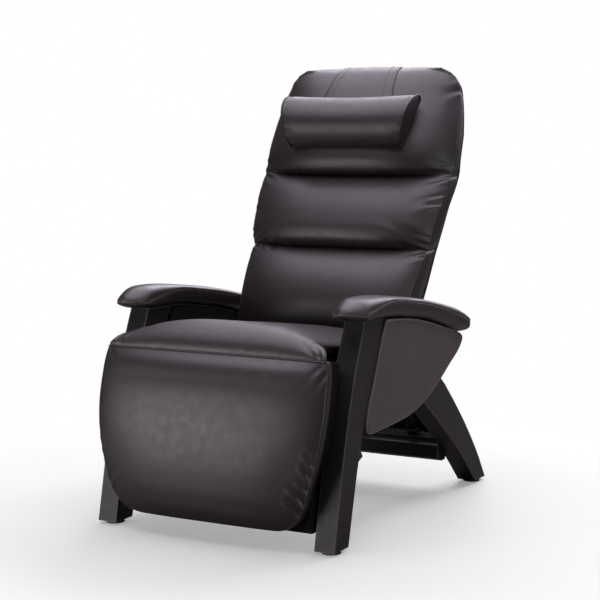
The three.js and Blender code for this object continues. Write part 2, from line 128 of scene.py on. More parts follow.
ARM_BOTTOM = [[-362, 565], [-355, 558], [-343, 552], [-318, 547], [-212, 543.5], [-117, 538.5], [-50, 530],
              [60, 515], [171, 489], [281, 459], [345, 458], [368, 470]]
ARM_SEAM = [[-362, 568], [-345, 565], [-320, 564], [-293, 567], [-245, 575], [-200, 582], [-151, 584],
            [-96, 579], [-47, 571], [48, 557], [195, 526], [298, 496], [368, 474]]
ARM_RIDGE = [[-362, 571], [-355, 581], [-343, 589], [-322, 598], [-297, 603], [-254, 604], [-182, 600],
             [-92, 590], [0, 579], [80, 566], [169, 549], [267, 527], [323, 507], [368, 480]]
ARM_CENTRE = 316
ARM_HALF = 45
ARM_NOSE, ARM_NOSE_LENGTH = -305, 57
ARM_TAIL, ARM_TAIL_LENGTH, ARM_TAIL_HALF = 330, 39, 41
ARM_NARROWING, ARM_SHIFT = 4, 5
PUCKER_PITCH = 9.5
PUCKER_DEPTH = 1.5
GROOVE_WIDTH, GROOVE_DEPTH = 0.09, 1.5

PANEL_TOP = [[-179, 538], [-117, 535], [-32, 527], [76, 508], [190, 481], [298, 453], [308, 449], [315, 443]]
PANEL_LOW = [[316, 436], [311, 428], [297, 415], [228, 377], [119, 321], [-20, 279], [-120, 270],
             [-213, 267], [-262, 266], [-273, 268]]
PANEL_FRONT = [[-282, 273], [-286, 283], [-284, 297], [-246, 389], [-200, 494]]
PANEL_INNER_X, PANEL_OUTER_X, PANEL_ROLL = 331.8, 348.5, 6.0
# How the panel's face swells inside its rim: (share of the rim's size, offset in x).
PANEL_CROWN = ((0.97, -0.9), (0.94, -1.0), (0.85, -0.2), (0.6, 0.6), (0.3, 1.0), (0.02, 1.0))

# ---- folds, filling, stitches and edges ----
# A fold widens and fades along its run, and a lower ridge lies beside its valley (in fold widths).
FOLD_DEPTH = 0.8
FOLD_RUN_OFF = 1.2
FOLD_WIDTHS = (0.7, 0.9)
RIDGE_HEIGHT, RIDGE_OFFSET = 0.75, 1.7
CLOTH_FRAMES = 18
HELD_WITHIN = 0.0004
SMOOTHING_ROUNDS, SMOOTHING_SHARE = 60, 0.6
STITCH_LENGTH, STITCH_RADIUS, STITCH_LIFT = 4.4, 0.75, 0.3
STITCH_SIDES = 6
# The bevel on CAD edges, the painted highlight strip along them and the weave are in metres, and the angle in
# degrees.
EDGE_WIDTH, EDGE_SEGMENTS, EDGE_ANGLE = 0.0018, 2, 38
PAINTED_HIGHLIGHT_WIDTH = 0.0040
WEAVE_PITCH = 0.0009
PLAIN_GRAIN = 1080

# ---- lights: name, place, target, size, watts, colour ----
LIGHTS = [
    ("overhead", (-0.2, 0.0, 3.8), (0, 0.0, 0.4), (5.2, 4.2), 272, (0.93, 0.87, 1.0)),
    ("behind", (0.1, 3.2, 2.8), (0, 0, 0.6), (4.6, 2.2), 236, (0.92, 0.86, 1.0)),
    ("front_left", (-1.3, -2.5, 0.42), (0, -0.45, 0.27), (1.6, 0.7), 35, (1.0, 0.94, 0.96)),
    ("right_side", (3.2, -1.1, 1.2), (0.2, 0, 0.5), (1.0, 1.8), 22, (1, 1, 1)),
]


# ---- curves and grids ----
def lengths(points):
    """The distance along a line of points to each of them."""
    return np.r_[0, np.cumsum(np.linalg.norm(np.diff(points, axis=0), axis=1))]


def read_rows(at, places, rows):
    """The rows of an array, each given at a place, read between them."""
    return np.stack([np.interp(at, places, rows[:, k]) for k in range(rows.shape[1])], 1)


def curve(points, at):
    """A smooth curve through the points, by distance along them: at runs from 0 to 1."""
    p = np.asarray(points, float)
    t = lengths(p)
    t /= t[-1]
    slope = np.gradient(p, t, axis=0)
    at = np.clip(np.asarray(at, float), 0, 1)
    i = np.clip(np.searchsorted(t, at, side="right") - 1, 0, len(t) - 2)
    h = t[i + 1] - t[i]
    s = ((at - t[i]) / h)[..., None]
    h = h[..., None]
    return ((2 * s**3 - 3 * s**2 + 1) * p[i] + (s**3 - 2 * s**2 + s) * h * slope[i]
            + (-2 * s**3 + 3 * s**2) * p[i + 1] + (s**3 - s**2) * h * slope[i + 1])


def height_at(points, y):
    """z of a profile at the given y values."""
    p = curve(points, np.linspace(0, 1, 160))
    return np.interp(y, p[:, 0], p[:, 1])


def smoothstep(low, high, x):
    """0 up to low, 1 from high on, and a smooth rise between them."""
    s = np.clip((np.asarray(x, float) - low) / (high - low), 0, 1)
    return s * s * (3 - 2 * s)


def grid_normals(grid):
    """Unit normals of a grid of points, turned the way du x dv points."""
    du = np.gradient(grid, axis=0)
    dv = np.gradient(grid, axis=1)
    n = np.cross(du, dv)
    return n / np.maximum(np.linalg.norm(n, axis=2, keepdims=True), 1e-9)


def ruled(edge_a, edge_b, steps, bulge=None):
    """A grid from one edge to another, pushed out by bulge (an array of offsets per edge point)."""
    t = np.linspace(0, 1, steps)[:, None, None]
    grid = edge_a[None] * (1 - t) + edge_b[None] * t
    if bulge is not None:
        grid = grid + np.sin(np.pi * t) * bulge[None]
    return grid


def point_grid(x, y, z):
    """A grid of points from coordinates that broadcast together."""
    return np.stack(np.broadcast_arrays(x, y, z), 2)


def closed_box(front, rear, steps):
    """The grids of a panel, the panel behind it and the walls that join their four edges."""
    grids = [front, rear]
    for index in (0, -1):
        grids.append(ruled(front[index], rear[index], steps))
        grids.append(ruled(front[:, index], rear[:, index], steps))
    return grids


def mesh_object(name, bm, material, body):
    """A smooth-shaded object from a bmesh, in one material. It rides on the body, if one is named."""
    bmesh.ops.recalc_face_normals(bm, faces=bm.faces)
    mesh = bpy.data.meshes.new(name)
    bm.to_mesh(mesh)
    bm.free()
    mesh.polygons.foreach_set("use_smooth", [True] * len(mesh.polygons))
    mesh.materials.append(material)
    piece = bpy.data.objects.new(name, mesh)
    bpy.context.collection.objects.link(piece)
    if body:
        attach(piece, body)
    return piece


def new_piece(name, grids, material, body):
    """One closed object from grids of points in millimetres whose edges meet, welded into one surface."""
    bm = bmesh.new()
    for grid in grids:
        rows, cols = grid.shape[:2]
        verts = [[bm.verts.new(Vector(grid[i, j]) * MM) for j in range(cols)] for i in range(rows)]
        for i in range(rows - 1):
            for j in range(cols - 1):
                bm.faces.new((verts[i][j], verts[i + 1][j], verts[i + 1][j + 1], verts[i][j + 1]))
    bmesh.ops.remove_doubles(bm, verts=bm.verts, dist=2e-5)
    bmesh.ops.dissolve_degenerate(bm, edges=bm.edges, dist=1e-6)
    bmesh.ops.holes_fill(bm, edges=bm.edges, sides=0)
    return mesh_object(name, bm, material, body)


def subdivide(piece):
    """One level of subdivision."""
    modifier = piece.modifiers.new("fine", "SUBSURF")
    modifier.levels = modifier.render_levels = 1


def soften(piece, width):
    """Rounds the sharp edges of a sewn block by the given width in metres."""
    bevel = piece.modifiers.new("soft_edges", "BEVEL")
    bevel.width = width
    bevel.segments = 3
    bevel.limit_method = "ANGLE"


# ---- materials ----
def shader(name):
    """A new material with its nodes, its links and its Principled BSDF."""
    material = bpy.data.materials.new(name)
    material.use_nodes = True
    nodes = material.node_tree.nodes
    return material, nodes, material.node_tree.links, nodes["Principled BSDF"]


def put(nodes, kind, **inputs):
    """A new node with the given input values."""
    node = nodes.new(kind)
    for key, value in inputs.items():
        node.inputs[key.replace("_", " ")].default_value = value
    return node


def noise(nodes, links, coords, scale, detail=2.0, roughness=0.5):
    """A noise value in object coordinates."""
    node = put(nodes, "ShaderNodeTexNoise", Scale=scale, Detail=detail, Roughness=roughness)
    links.new(coords.outputs["Object"], node.inputs["Vector"])
    return node.outputs["Fac"]


def spread(nodes, links, source, low, high):
    """Maps a 0-1 value to low-high."""
    node = put(nodes, "ShaderNodeMapRange", From_Min=0.3, From_Max=0.7, To_Min=low, To_Max=high)
    links.new(source, node.inputs["Value"])
    return node.outputs["Result"]


def colour_mix(nodes, links, factor, light):
    """A colour mix whose first colour, input 6, is still to be set."""
    mix = nodes.new("ShaderNodeMix")
    mix.data_type = "RGBA"
    mix.inputs[7].default_value = (*light, 1)
    links.new(factor, mix.inputs[0])
    return mix


def two_tone(nodes, links, factor, dark, light):
    """Goes from the dark to the light colour."""
    mix = colour_mix(nodes, links, factor, light)
    mix.inputs[6].default_value = (*dark, 1)
    return mix.outputs[2]


def varied(nodes, links, factor, colour, change):
    """The colour, darker and lighter by the given share."""
    dark, light = ([c * share for c in colour] for share in (1 - change, 1 + change))
    return two_tone(nodes, links, factor, dark, light)


def bumps(nodes, links, bsdf, layers):
    """Stacks bump nodes: layers of (height output, strength, distance in metres)."""
    normal = None
    for height, strength, distance in layers:
        bump = put(nodes, "ShaderNodeBump", Strength=strength, Distance=distance)
        links.new(height, bump.inputs["Height"])
        if normal:
            links.new(normal, bump.inputs["Normal"])
        normal = bump.outputs["Normal"]
    links.new(normal, bsdf.inputs["Normal"])


def leather(name, dark, light, roughness, grain=650, depth=0.00012, specular=0.5):
    """Upholstery leather: pebble grain, faint creases and slow changes of colour and gloss."""
    material, nodes, links, bsdf = shader(name)
    coords = nodes.new("ShaderNodeTexCoord")
    pebble = put(nodes, "ShaderNodeTexVoronoi", Scale=grain, Randomness=1.0)
    pebble.feature = "F1"
    links.new(coords.outputs["Object"], pebble.inputs["Vector"])
    slow = noise(nodes, links, coords, 6, 3)
    pull = noise(nodes, links, coords, 38, 4, 0.6)
    links.new(two_tone(nodes, links, slow, dark, light), bsdf.inputs["Base Color"])
    links.new(spread(nodes, links, pull, *roughness), bsdf.inputs["Roughness"])
    bsdf.inputs["Specular IOR Level"].default_value = specular
    bumps(nodes, links, bsdf, [(pull, 0.12, 0.0008), (pebble.outputs["Distance"], 0.6, depth)])
    return material


def edge_mask(nodes, links, radius):
    """1 on a rounded edge and 0 on a flat face: how far the rounded normal leaves the true one."""
    rounded = nodes.new("ShaderNodeBevel")
    rounded.samples = 4
    rounded.inputs["Radius"].default_value = radius
    true = nodes.new("ShaderNodeNewGeometry")
    dot = nodes.new("ShaderNodeVectorMath")
    dot.operation = "DOT_PRODUCT"
    links.new(rounded.outputs["Normal"], dot.inputs[0])
    links.new(true.outputs["True Normal"], dot.inputs[1])
    ramp = put(nodes, "ShaderNodeMapRange", From_Min=0.995, From_Max=0.93, To_Min=0.0, To_Max=1.0)
    links.new(dot.outputs["Value"], ramp.inputs["Value"])
    return ramp.outputs["Result"]


def painted_wood(name, colour, roughness, painted_edge_highlight):
    """Black stained wood with a painted highlight along its rounded edges: the grain runs along Z and only
    shows in the gloss.
    """
    material, nodes, links, bsdf = shader(name)
    coords = nodes.new("ShaderNodeTexCoord")
    stretch = nodes.new("ShaderNodeMapping")
    stretch.inputs["Scale"].default_value = (1.0, 1.0, 0.06)
    links.new(coords.outputs["Object"], stretch.inputs["Vector"])
    grain = put(nodes, "ShaderNodeTexNoise", Scale=260.0, Detail=4.0)
    links.new(stretch.outputs["Vector"], grain.inputs["Vector"])
    cloud = noise(nodes, links, coords, 14, 3)
    tone = two_tone(nodes, links, cloud, [c * 0.8 for c in colour], [c * 1.25 for c in colour])
    # A lighter colour on the rounded edges: a painted highlight where the bevels would catch light.
    edge_highlight_mix = colour_mix(nodes, links, edge_mask(nodes, links, PAINTED_HIGHLIGHT_WIDTH), painted_edge_highlight)
    links.new(tone, edge_highlight_mix.inputs[6])
    links.new(edge_highlight_mix.outputs[2], bsdf.inputs["Base Color"])
    links.new(spread(nodes, links, grain.outputs["Fac"], *roughness), bsdf.inputs["Roughness"])
    bsdf.inputs["Specular IOR Level"].default_value = 0.25
    bumps(nodes, links, bsdf, [(grain.outputs["Fac"], 0.06, 0.0003)])
    return material


def plain(name, colour, roughness, metallic=0.0):
    """Metal, plastic or rubber with a fine texture and slight unevenness."""
    material, nodes, links, bsdf = shader(name)
    coords = nodes.new("ShaderNodeTexCoord")
    cloud = noise(nodes, links, coords, 18, 3)
    fine = noise(nodes, links, coords, PLAIN_GRAIN, 2)
    links.new(varied(nodes, links, cloud, colour, 0.18), bsdf.inputs["Base Color"])
    gloss = spread(nodes, links, cloud, roughness - 0.06, roughness + 0.06)
    links.new(gloss, bsdf.inputs["Roughness"])
    bsdf.inputs["Metallic"].default_value = metallic
    bumps(nodes, links, bsdf, [(fine, 0.3, 0.0002)])
    return material


def woven(name, colour):
    """Plain-woven lining cloth."""
    material, nodes, links, bsdf = shader(name)
    coords = nodes.new("ShaderNodeTexCoord")
    waves = []
    for direction in ("X", "Z"):
        wave = put(nodes, "ShaderNodeTexWave", Scale=0.32 / WEAVE_PITCH, Distortion=0.6)
        wave.bands_direction = direction
        links.new(coords.outputs["Object"], wave.inputs["Vector"])
        waves.append(wave)
    cross = nodes.new("ShaderNodeMath")
    cross.operation = "ADD"
    for i, wave in enumerate(waves):
        links.new(wave.outputs["Fac"], cross.inputs[i])
    cloud = noise(nodes, links, coords, 20, 3)
    links.new(varied(nodes, links, cloud, colour, 0.3), bsdf.inputs["Base Color"])
    bsdf.inputs["Roughness"].default_value = 0.9
    bsdf.inputs["Specular IOR Level"].default_value = 0.15
    bumps(nodes, links, bsdf, [(cross.outputs["Value"], 0.5, 0.0003)])
    return material


HIDE = leather("brown_leather", (0.0110, 0.0078, 0.0078), (0.0145, 0.0104, 0.0104), (0.43, 0.50))
PANEL = leather("panel_leather", (0.062, 0.051, 0.045), (0.077, 0.064, 0.057), (0.50, 0.60), 520, 0.0001, 0.3)
# The welt's leather is lighter than the panel's: a painted highlight along the panel's rim.
WELT_PAINTED_HIGHLIGHT = leather("panel_welt_painted_highlight_leather", (0.120, 0.103, 0.094), (0.150, 0.130, 0.118), (0.40, 0.50), 520, 0.0001,
               0.4)
THREAD = plain("thread", (0.085, 0.071, 0.066), 0.6)
# The last colour is the painted highlight on the wood's rounded edges.
WOOD = painted_wood("black_wood", (0.0118, 0.0112, 0.0113), (0.42, 0.50), (0.15, 0.125, 0.12))
CLOTH = woven("lining_cloth", (0.006, 0.006, 0.0065))
PAINTED = plain("black_powder_coat", (0.018, 0.018, 0.020), 0.48)
BRIGHT = plain("zinc_plate", (0.80, 0.80, 0.82), 0.35, 0.35)
PLASTIC = plain("black_plastic", (0.012, 0.012, 0.013), 0.5)
RUBBER = plain("black_rubber", (0.010, 0.010, 0.010), 0.75)
SLOT_LOOKS = {
    "black_wood": WOOD, "black_cloth": CLOTH, "painted_steel": PAINTED, "bright_steel": BRIGHT,
    "black_plastic": PLASTIC, "rubber": RUBBER, "leather": HIDE, "panel_hide": PANEL,
}


def dress_cad_nodes():
    """Every CAD node gets its slot's material and a fine bevel on its sharp edges."""
    for part in frame["record"]["subparts"]:
        node = NODES[part["node"]]
        look = SLOT_LOOKS[part["material_slot"]]
        if not node.material_slots:
            node.data.materials.append(look)
        for material_slot in node.material_slots:
            material_slot.material = look
        bevel = node.modifiers.new("edge", "BEVEL")
        bevel.width = EDGE_WIDTH
        bevel.segments = EDGE_SEGMENTS
        bevel.limit_method = "ANGLE"
        bevel.angle_limit = math.radians(EDGE_ANGLE)


# ---- stitching and piping ----
def surface_of(piece):
    """A BVH of the piece's finished mesh."""
    graph = bpy.context.evaluated_depsgraph_get()
    return BVHTree.FromObject(piece, graph)


def spaced(path, pitch):
    """Points and directions at even steps along a path of millimetre points."""
    path = np.asarray(path, float)
    t = lengths(path)
    count = max(int(t[-1] / pitch), 2)
    at = (np.arange(count) + 0.5) * t[-1] / count
    points = read_rows(at, t, path)
    ahead = read_rows(np.minimum(at + pitch / 2, t[-1]), t, path)
    behind = read_rows(np.maximum(at - pitch / 2, 0), t, path)
    direction = ahead - behind
    return points, direction / np.maximum(np.linalg.norm(direction, axis=1, keepdims=True), 1e-9)


def stitches(name, paths, on, body, pitch=6.5):
    """Topstitching: short thread runs laid on the surface `on` along each path."""
    tree = surface_of(on)
    bm = bmesh.new()
    angles = np.linspace(0, 2 * math.pi, STITCH_SIDES, endpoint=False)
    ring = [(math.cos(a), math.sin(a)) for a in angles]
    profile = [(-0.5, 0.0), (-0.38, 0.8), (0.0, 1.0), (0.38, 0.8), (0.5, 0.0)]
    for path in paths:
        points, directions = spaced(path, pitch)
        for point, direction in zip(points, directions):
            place, normal, _, _ = tree.find_nearest(Vector(point) * MM)
            if place is None:
                continue
            forward = Vector(direction)
            forward = (forward - normal * forward.dot(normal)).normalized()
            side = normal.cross(forward)
            centre = place + normal * STITCH_LIFT * MM
            rows = []
            for s, r in profile:
                spot = centre + forward * s * STITCH_LENGTH * MM
                if r == 0:
                    rows.append([bm.verts.new(spot - normal * STITCH_LIFT * MM)])
                else:
                    rows.append([bm.verts.new(spot + (side * a + normal * b) * r * STITCH_RADIUS * MM)
                                 for a, b in ring])
            for low, high in zip(rows, rows[1:]):
                for k in range(STITCH_SIDES):
                    a, b = low[k % len(low)], low[(k + 1) % len(low)]
                    c, d = high[(k + 1) % len(high)], high[k % len(high)]
                    face = [v for i, v in enumerate((a, b, c, d)) if v not in (a, b, c, d)[:i]]
                    bm.faces.new(face)
    return finish_small(name, bm, THREAD, body)


def finish_small(name, bm, material, body):
    """Stitching or piping, made as a smooth-shaded object in the given material."""
    piece = mesh_object(name, bm, material, body)
    return piece


def tube(name, path, radius, material, body, closed=False, sides=10):
    """A piped edge: a round tube of the given radius along millimetre points."""
    tangent = np.roll(path, -1, 0) - np.roll(path, 1, 0) if closed else np.gradient(path, axis=0)
    tangent /= np.maximum(np.linalg.norm(tangent, axis=1, keepdims=True), 1e-9)
    side = np.cross(tangent[0], [0.3, 0.2, 0.93])
    bm = bmesh.new()
    rings = []
    for i in range(len(path)):
        side = side - tangent[i] * side.dot(tangent[i])
        side = side / np.linalg.norm(side)
        up = np.cross(tangent[i], side)
        angles = np.linspace(0, 2 * math.pi, sides, endpoint=False)
        rings.append([bm.verts.new(Vector(path[i] + radius * (math.cos(a) * side + math.sin(a) * up)) * MM)
                      for a in angles])
    pairs = list(zip(rings, rings[1:])) + ([(rings[-1], rings[0])] if closed else [])
    for low, high in pairs:
        for k in range(sides):
            bm.faces.new((low[k], low[(k + 1) % sides], high[(k + 1) % sides], high[k]))
    if not closed:
        bm.faces.new(rings[0])
        bm.faces.new(rings[-1])
    return finish_small(name, bm, material, body)


# ---- upholstery ----
def crowned(seam, crown, nu, nv, power=3.2, ease=0.8):
    """A crowned panel: side seams at +-half-width, its middle following the crown profile."""
    v = np.linspace(0, 1, nv)
    side = curve(seam, v)
    middle = curve(crown, v)
    x = np.sin(np.linspace(-1, 1, nu) * math.pi / 2 * 0.94)[:, None] / math.sin(math.pi / 2 * 0.94)
    lift = ((1 - np.abs(x) ** power) ** ease)[..., None]
    profile = side[None, :, 1:] * (1 - lift) + middle[None] * lift
    grid = np.concatenate([(x * side[None, :, 0])[..., None], profile], axis=2)
    return grid if grid_normals(grid)[..., 1].mean() < 0 else grid[::-1]


def press(grid, folds):
    """Presses folds into a panel. Each is a valley beside a ridge that fades out from (x0, v0) to (x1, v1).

    folds = (x0, v0, x1, v1, width, depth), x and sizes in millimetres, v from 0 to 1 up the panel.
    """
    normals = grid_normals(grid)
    middle = grid[grid.shape[0] // 2]
    length = lengths(middle)
    here = np.stack([grid[..., 0], np.broadcast_to(length[None], grid.shape[:2])], 2)
    push = np.zeros(grid.shape[:2])
    for x0, v0, x1, v1, width, depth in folds:
        a = np.array([x0, v0 * length[-1]])
        b = np.array([x1, v1 * length[-1]])
        run = b - a
        t = np.clip(((here - a) @ run) / (run @ run), 0, 1)
        gap = here - (a + t[..., None] * run)
        across = np.array([-run[1], run[0]]) / np.linalg.norm(run)
        signed = gap @ across
        beyond = np.abs(gap @ (run / np.linalg.norm(run)))
        near = np.exp(-((beyond / (width * FOLD_RUN_OFF)) ** 2))
        fade = (1 - t) ** 0.8 * near
        width = width * (FOLD_WIDTHS[0] + FOLD_WIDTHS[1] * t)
        valley = np.exp(-((signed / width) ** 2))
        ridge = np.exp(-(((signed - RIDGE_OFFSET * width) / width) ** 2))
        push += FOLD_DEPTH * depth * fade * (valley - RIDGE_HEIGHT * ridge)
    push[[0, -1]] = 0
    push[[1, -2]] *= 0.5
    return grid - normals * push[..., None]


def edge_folds(rng, count, reach_x, v_edge, v_reach, width, depth, lean=30):
    """Random short folds that start on a panel's lower (0) or upper (1) edge and run inwards."""
    folds = []
    for _ in range(count):
        x = rng.uniform(-reach_x, reach_x)
        reach = rng.uniform(*v_reach) * (1 if v_edge == 0 else -1)
        folds.append((x, v_edge, x + rng.uniform(-lean, lean), v_edge + reach, rng.uniform(*width),
                      rng.uniform(*depth)))
    return folds


def side_folds(rng, count, half, v_span, reach, width, depth, rise):
    """Random folds that start on both side seams and run inwards, rising by rise."""
    folds = []
    for sign in (-1, 1):
        for _ in range(count):
            v = rng.uniform(*v_span)
            folds.append((sign * half, v, sign * (half - rng.uniform(*reach)), v + rng.uniform(*rise),
                          rng.uniform(*width), rng.uniform(*depth)))
    return folds


def mirrored(folds):
    """The folds and their mirror images."""
    return folds + [(-x0, v0, -x1, v1, width, depth) for x0, v0, x1, v1, width, depth in folds]


def inflate(piece, held, pressure=3.0, spare=0.003, cap=12.0, bending=8.0):
    """Fills the piece like a cushion by a cloth simulation, then evens out the swelling.

    The held points stay, no point moves further than cap, and spare is how much the cloth may stretch.
    """
    mesh = piece.data
    tree = KDTree(len(held))
    for index, point in enumerate(held):
        tree.insert(Vector(point) * MM, index)
    tree.balance()
    fixed = [v.index for v in mesh.vertices if tree.find(v.co)[2] < HELD_WITHIN]
    group = piece.vertex_groups.new(name="seams")
    group.add(fixed, 1.0, "REPLACE")
    modifier = piece.modifiers.new("filling", "CLOTH")
    cloth = modifier.settings
    cloth.quality = 5
    cloth.mass = 0.25
    cloth.tension_stiffness = cloth.compression_stiffness = 40
    cloth.shear_stiffness = 20
    cloth.bending_stiffness = bending
    cloth.tension_damping = cloth.compression_damping = cloth.shear_damping = 25
    cloth.air_damping = 4
    cloth.vertex_group_mass = "seams"
    cloth.use_pressure = True
    cloth.uniform_pressure_force = pressure
    cloth.shrink_min = -spare
    cloth.effector_weights.gravity = 0
    modifier.collision_settings.use_collision = False
    modifier.collision_settings.use_self_collision = False
    modifier.point_cache.frame_start = 1
    modifier.point_cache.frame_end = CLOTH_FRAMES
    for number in range(1, CLOTH_FRAMES + 1):
        bpy.context.scene.frame_set(number)
    graph = bpy.context.evaluated_depsgraph_get()
    filled = piece.evaluated_get(graph).data
    count = len(mesh.vertices)
    after = np.empty(count * 3)
    before = np.empty(count * 3)
    filled.vertices.foreach_get("co", after)
    mesh.vertices.foreach_get("co", before)
    move = (after - before).reshape(-1, 3)
    size = np.linalg.norm(move, axis=1, keepdims=True)
    limit = cap * MM
    move = move * np.minimum(1, limit * np.tanh(size / limit) / np.maximum(size, 1e-9))
    piece.modifiers.remove(modifier)
    piece.vertex_groups.remove(group)
    ends = np.empty(len(mesh.edges) * 2, dtype=int)
    mesh.edges.foreach_get("vertices", ends)
    first, second = ends.reshape(-1, 2).T
    degree = np.bincount(ends, minlength=count)[:, None]
    for _ in range(SMOOTHING_ROUNDS):
        total = np.zeros_like(move)
        np.add.at(total, first, move[second])
        np.add.at(total, second, move[first])
        move = (1 - SMOOTHING_SHARE) * move + SMOOTHING_SHARE * total / degree
        move[fixed] = 0
    mesh.vertices.foreach_set("co", (before.reshape(-1, 3) + move).ravel())
    mesh.update()
    bpy.context.scene.frame_set(1)
    print(f"filled {piece.name}: {count} points, {size.max() / MM:.1f} mm")


def boxed(name, front, rear, body, node, steps=9, side_bulge=4.0, **filling):
    """A cushion: a front panel, a rear face with the same grid, and a boxing band round them."""
    nv = front.shape[1]
    swell = np.zeros((nv, 3))
    swell[:, 0] = side_bulge * np.sin(np.linspace(0, math.pi, nv)) ** 0.5
    grids = [front, rear]
    for index in (0, -1):
        sign = np.sign(front[index, nv // 2, 0])
        grids.append(ruled(front[index], rear[index], steps, swell * sign))
    for column in (0, -1):
        grids.append(ruled(front[:, column], rear[:, column], steps))
    piece = new_piece(name, grids, HIDE, body)
    rims = [front[0], front[-1], front[:, 0], front[:, -1]]
    held = np.concatenate([rear.reshape(-1, 3), *rims])
    inflate(piece, held, **filling)
    subdivide(piece)
    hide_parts(node)
    return piece


def seam_paths(front, first, gap, drop):
    """Stitch lines beside both side seams of a panel: one on its face and one on the band behind it."""
    paths = []
    for edge_row, inner_row in ((0, 2), (-1, -3)):
        edge = front[edge_row][first:-1]
        inward = front[inner_row][first:-1] - edge
        inward /= np.linalg.norm(inward, axis=1, keepdims=True)
        paths.append(edge + inward * gap)
        paths.append(edge + [0, drop, 0])
    return paths


def rear_line(low, high, count, depth):
    """The back's inner rear line between two heights, [y, z]."""
    p = curve(BACK_REAR, np.linspace(0, 1, 240))
    direction = np.gradient(p, axis=0)
    direction /= np.linalg.norm(direction, axis=1, keepdims=True)
    p = p + np.stack([-direction[:, 1], direction[:, 0]], 1) * depth
    z = np.linspace(low, high, count)
    return np.stack([np.interp(z, p[:, 1], p[:, 0]), z], 1)


def back_section(name, seam, crown, rear_range, size, folds):
    """One cushion of the back, with topstitched side seams."""
    front = press(crowned(seam, crown, *size), folds)
    line = rear_line(*rear_range, size[1], COVER_DEPTH)
    rear = front.copy()
    rear[..., 1] = line[None, :, 0]
    rear[..., 2] = line[None, :, 1]
    piece = boxed(f"{name}_cushion_leather", front, rear, "back", f"{name}_cushion")
    stitches(f"{name}_seam_stitches", seam_paths(front, 1, 4.5, 6.5), piece, "back")
    return front, piece


def build_back():
    """The head, mid and lumbar cushions, the cover behind them and the gussets beside them."""
    rng = np.random.default_rng(3)
    head_folds = (edge_folds(rng, 15, 250, 0, (0.09, 0.17), (6, 9), (1.2, 2.8))
                  + side_folds(rng, 4, 292, (0.55, 0.86), (40, 80), (6, 10), (1.5, 3.0), (-0.10, 0.02))
                  + mirrored([(292, 0.10, 225, 0.20, 9, 4), (292, 0.02, 215, 0.10, 8, 4),
                              (240, 0.96, 205, 0.86, 8, 2.2), (215, 0.98, 190, 0.88, 8, 1.8)]))
    head = back_section("head", HEAD_SEAM, HEAD_CROWN, (889, 1186), (121, 71), head_folds)
    mid_folds = (edge_folds(rng, 12, 240, 0, (0.10, 0.20), (6, 9), (1.2, 2.8))
                 + side_folds(rng, 3, 285, (0.3, 0.8), (40, 90), (6, 10), (1.5, 3.0), (-0.12, 0.02))
                 + mirrored([(285, 0.05, 150, 0.42, 10, 4.5), (285, 0.14, 190, 0.36, 8, 3.5),
                             (255, 0.02, 165, 0.22, 9, 4), (298, 0.96, 225, 0.82, 9, 4.5)]))
    back_section("mid", MID_SEAM, MID_CROWN, (686, 893), (121, 53), mid_folds)
    lumbar_folds = (edge_folds(rng, 6, 240, 1, (0.08, 0.16), (7, 11), (1.5, 3.0))
                    + mirrored([(275, 0.97, 200, 0.84, 9, 4.5), (270, 0.88, 215, 0.80, 7, 3)]))
    back_section("lumbar", LUMBAR_SEAM, LUMBAR_CROWN, (520, 691), (115, 55), lumbar_folds)
    build_cover()
    build_gussets()
    return head


def build_gussets():
    """The leather side walls that close the ends of the back's two creases."""
    path = curve(GUSSET_EDGE, np.linspace(0, 1, 61))
    line = rear_line(540, 1000, 61, COVER_DEPTH + 2)
    rear_y = np.interp(path[:, 2], line[:, 1], line[:, 0])
    for name, sign in (("left", 1), ("right", -1)):
        front = path * [sign, 1, 1]
        rear = np.column_stack([front[:, 0], rear_y, path[:, 2]])
        wall = ruled(front, rear, 9, np.tile([sign * 2.0, 0, 0], (len(path), 1)))
        inner = wall - [sign * 10.0, 0, 0]
        piece = new_piece(f"{name}_back_gusset", closed_box(wall, inner, 2), HIDE, "back")


def build_cover():
    """The leather panel over the back's frame, with piping round it."""
    nv, nu = 49, 41
    line = rear_line(*BACK_SPAN, nv, 0)
    inner = rear_line(*BACK_SPAN, nv, COVER_DEPTH - 1)
    z = line[:, 1]
    half = np.interp(z, *zip(*COVER_HALF))
    u = np.linspace(-1, 1, nu)[:, None]
    puff = 5.0 * (1 - np.abs(u) ** 4) * np.sin(np.linspace(0, math.pi, nv))[None] ** 0.4
    rear = point_grid(u * half, line[:, 0] - 4 + puff, z)
    front = point_grid(u * half, inner[:, 0], inner[:, 1])
    cover = new_piece("back_cover_leather", closed_box(rear, front, 4), HIDE, "back")
    subdivide(cover)
    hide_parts("back_cover")
    edge = np.concatenate([rear[0], rear[1:-1, -1], rear[-1][::-1], rear[1:-1, 0][::-1]])
    tube("back_cover_piping", edge, 3.0, HIDE, "back", closed=True)


